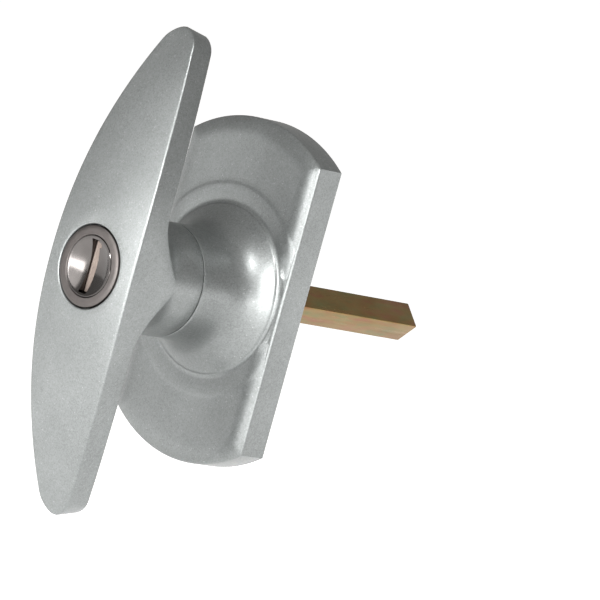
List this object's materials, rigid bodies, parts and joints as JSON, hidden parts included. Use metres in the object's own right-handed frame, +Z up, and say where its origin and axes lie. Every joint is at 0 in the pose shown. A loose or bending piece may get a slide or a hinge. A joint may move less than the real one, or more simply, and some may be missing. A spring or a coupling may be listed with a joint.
{
  "type": "locking t-handle",
  "caption": "Locking T-handle with a bowed grip, a flared rose with two flats, a key cylinder in the grip and a square spindle.",
  "frame": {"origin": "on the spindle's axis at the rose's back face, where it meets the door", "axes": "+Y into the door along the spindle, -Y towards the user, +Z up along the grip, +X to the user's right"},
  "size_m": [0.0452, 0.1143, 0.1212],
  "materials": {
    "grey_paint": "silver-grey paint with fine metal flake",
    "bare_zinc": "polished die-cast zinc",
    "brass": "stamped, satin",
    "spring_steel": "plain",
    "yellow_passivated_steel": "yellow zinc passivation",
    "nylon": "moulded"
  },
  "bodies": {
    "rose_body": {"rose": "grey_paint", "front_bush": "nylon", "rear_bush": "nylon", "wave_washer": "spring_steel"},
    "grip": {"handle_body": "grey_paint", "spindle": "yellow_passivated_steel", "spindle_roll_pin": "spring_steel", "barrel_roll_pin": "spring_steel", "stop_washer": "spring_steel", "circlip": "spring_steel", "lock_barrel": "bare_zinc"},
    "plug": {"lock_plug": "bare_zinc", "plug_clip": "spring_steel", "wafer_spring_1": "spring_steel", "wafer_spring_2": "spring_steel", "wafer_spring_3": "spring_steel", "wafer_spring_4": "spring_steel", "wafer_spring_5": "spring_steel"},
    "shutter": {"dust_shutter": "brass"},
    "bolt": {"lock_bolt": "spring_steel"},
    "wafer_body_1": {"wafer_1": "brass"},
    "wafer_body_2": {"wafer_2": "brass"},
    "wafer_body_3": {"wafer_3": "brass"},
    "wafer_body_4": {"wafer_4": "brass"},
    "wafer_body_5": {"wafer_5": "brass"}
  },
  "joints": [
    {"name": "grip_turn", "type": "hinge", "parent": "rose_body", "child": "grip", "pos_m": [0, 0, 0], "axis": [0, 1, 0], "range_deg": [0, 90]},
    {"name": "key_turn", "type": "hinge", "parent": "grip", "child": "plug", "pos_m": [0, -0.03, 0], "axis": [0, 1, 0], "range_deg": [0, 90]},
    {"name": "bolt_slide", "type": "slide", "parent": "grip", "child": "bolt", "axis": [0, 0, 1], "range_m": [0, 0.0037]},
    {"name": "shutter_swing", "type": "hinge", "parent": "plug", "child": "shutter", "pos_m": [-0.00115, -0.0496, 0], "axis": [0, 0, 1], "range_deg": [0, 60], "stiffness_Nm_per_rad": 0.0002, "springref_deg": -11.46},
    {"name": "wafer_slide_1", "type": "slide", "parent": "plug", "child": "wafer_body_1", "axis": [0, 0, 1], "range_m": [0, 0.0008], "deforming": ["wafer_spring_1"]},
    {"name": "wafer_slide_2", "type": "slide", "parent": "plug", "child": "wafer_body_2", "axis": [0, 0, 1], "range_m": [0, 0.0008], "deforming": ["wafer_spring_2"]},
    {"name": "wafer_slide_3", "type": "slide", "parent": "plug", "child": "wafer_body_3", "axis": [0, 0, 1], "range_m": [0, 0.0008], "deforming": ["wafer_spring_3"]},
    {"name": "wafer_slide_4", "type": "slide", "parent": "plug", "child": "wafer_body_4", "axis": [0, 0, 1], "range_m": [0, 0.0008], "deforming": ["wafer_spring_4"]},
    {"name": "wafer_slide_5", "type": "slide", "parent": "plug", "child": "wafer_body_5", "axis": [0, 0, 1], "range_m": [0, 0.0008], "deforming": ["wafer_spring_5"]}
  ],
  "couplings": [
    {"joint": "bolt_slide", "follows": "key_turn", "m_per_rad": 0.0023408}
  ]
}
